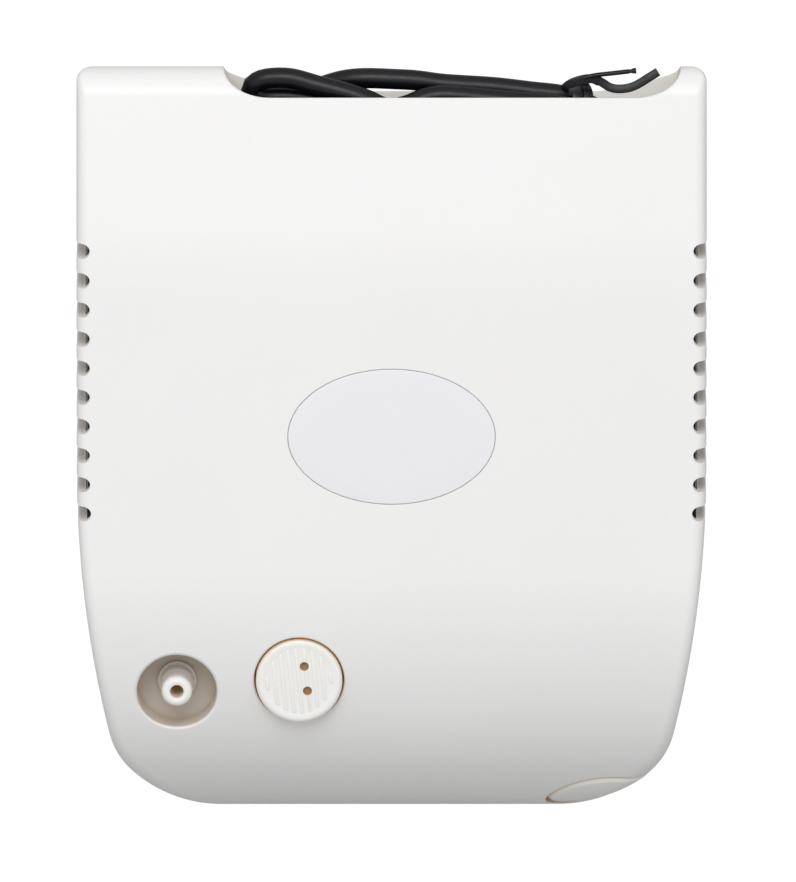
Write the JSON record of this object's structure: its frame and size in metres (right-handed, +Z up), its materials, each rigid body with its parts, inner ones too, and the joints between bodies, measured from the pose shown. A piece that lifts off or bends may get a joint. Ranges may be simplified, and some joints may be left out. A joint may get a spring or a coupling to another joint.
{
  "type": "tabletop nebulizer",
  "caption": "Tabletop compressor nebulizer unit with a sloping white case, air outlet well, round filter cap, corner power button, side vents and a cord bay.",
  "frame": {"origin": "on the table plane, under the centre of the case in plan", "axes": "+Z up, -Y towards the front of the case, +X to the right seen from the front"},
  "size_m": [0.166, 0.1954, 0.095],
  "materials": {
    "shell_plastic": "satin moulded ABS, warm white",
    "foot_rubber": "grey moulded rubber",
    "steel": "zinc plated",
    "badge_plastic": "smooth, slightly cool white",
    "white_plastic": "moulded ABS",
    "rubber": "moulded rubber",
    "inner_plastic": "plain moulded nylon",
    "felt": "pressed felt",
    "black_plastic": "moulded",
    "contact_brass": "stamped",
    "cord_pvc": "satin PVC sheath",
    "tie_plastic": "coated wire tie",
    "plug_nickel": "nickel plated",
    "cast_aluminium": "die cast",
    "spring_steel": "rolled strip",
    "gasket": "fibre-filled rubber",
    "cup_ptfe": "filled PTFE",
    "lamination": "stacked sheet",
    "copper": "copper",
    "enamel_wire": "enamelled copper wire",
    "silicone": "translucent silicone",
    "wire_pvc": "PVC insulation"
  },
  "bodies": {
    "housing": {"upper_shell": "shell_plastic", "lower_shell": "shell_plastic", "rubber_feet": "foot_rubber", "case_screws": "steel", "oval_badge": "badge_plastic", "air_outlet_nozzle": "white_plastic", "outlet_seal": "rubber", "outlet_nut": "inner_plastic", "filter_socket": "inner_plastic", "switch_bracket": "inner_plastic", "switch_body": "black_plastic", "switch_terminals": "contact_brass", "power_cord": "cord_pvc", "cord_bushing": "rubber", "cord_tie": "tie_plastic", "plug_body": "cord_pvc", "plug_pins": "plug_nickel", "pump_base": "steel", "rubber_mounts": "rubber", "mount_screws": "steel", "crankcase": "cast_aluminium", "crankcase_screws": "steel", "cylinder_sleeve": "cast_aluminium", "valve_plate": "cast_aluminium", "head_gasket": "gasket", "cylinder_head": "cast_aluminium", "head_screws": "steel", "stator_core": "lamination", "shading_rings": "copper", "coil_bobbin": "inner_plastic", "coil_winding": "enamel_wire", "drive_end_bracket": "cast_aluminium", "fan_end_bracket": "cast_aluminium", "motor_bearings": "spring_steel", "motor_bolts": "steel", "thermal_cutout": "black_plastic", "intake_hose": "silicone", "outlet_hose": "silicone", "hose_clips": "spring_steel", "mains_wires": "wire_pvc"},
    "rotor": {"motor_shaft": "spring_steel", "rotor_core": "lamination", "rotor_end_rings": "cast_aluminium", "crank_disc": "steel", "crank_set_screw": "spring_steel", "cooling_fan": "inner_plastic"},
    "rod": {"connecting_rod": "cast_aluminium", "crank_bearing": "spring_steel", "piston_cup": "cup_ptfe", "cup_retainer": "cast_aluminium", "retainer_screw": "steel"},
    "intake_valve": {"intake_reed": "spring_steel"},
    "exhaust_valve": {"exhaust_reed": "spring_steel"},
    "cap": {"filter_cap": "white_plastic", "filter_element": "felt"},
    "button": {"power_button": "white_plastic"},
    "plunger": {"switch_plunger": "inner_plastic"}
  },
  "joints": [
    {"name": "rotor_spin", "type": "hinge", "parent": "housing", "child": "rotor", "pos_m": [0, 0.002, 0.038], "axis": [1, 0, 0], "continuous": true},
    {"name": "rod_swing", "type": "hinge", "parent": "rotor", "child": "rod", "pos_m": [-0.023, 0.002, 0.0355], "axis": [1, 0, 0], "continuous": true, "deforming": ["piston_cup"]},
    {"name": "intake_reed_lift", "type": "hinge", "parent": "housing", "child": "intake_valve", "pos_m": [-0.023, 0.001, 0.07298], "axis": [1, 0, 0], "range_deg": [0, 4]},
    {"name": "exhaust_reed_lift", "type": "hinge", "parent": "housing", "child": "exhaust_valve", "pos_m": [-0.023, 0.005, 0.07602], "axis": [1, 0, 0], "range_deg": [0, 5]},
    {"name": "filter_cap_pull", "type": "slide", "parent": "housing", "child": "cap", "axis": [0, -0.2588, 0.9659], "range_m": [0, 0.025]},
    {"name": "power_button_press", "type": "slide", "parent": "housing", "child": "button", "axis": [-0.3774, 0.8891, -0.2588], "range_m": [0, 0.0025]},
    {"name": "switch_plunger_press", "type": "slide", "parent": "housing", "child": "plunger", "axis": [-0.3774, 0.8891, -0.2588], "range_m": [0, 0.0025]}
  ],
  "couplings": [
    {"joint": "rod_swing", "follows": "rotor_spin", "ratio": -1},
    {"joint": "switch_plunger_press", "follows": "power_button_press", "ratio": 1}
  ]
}
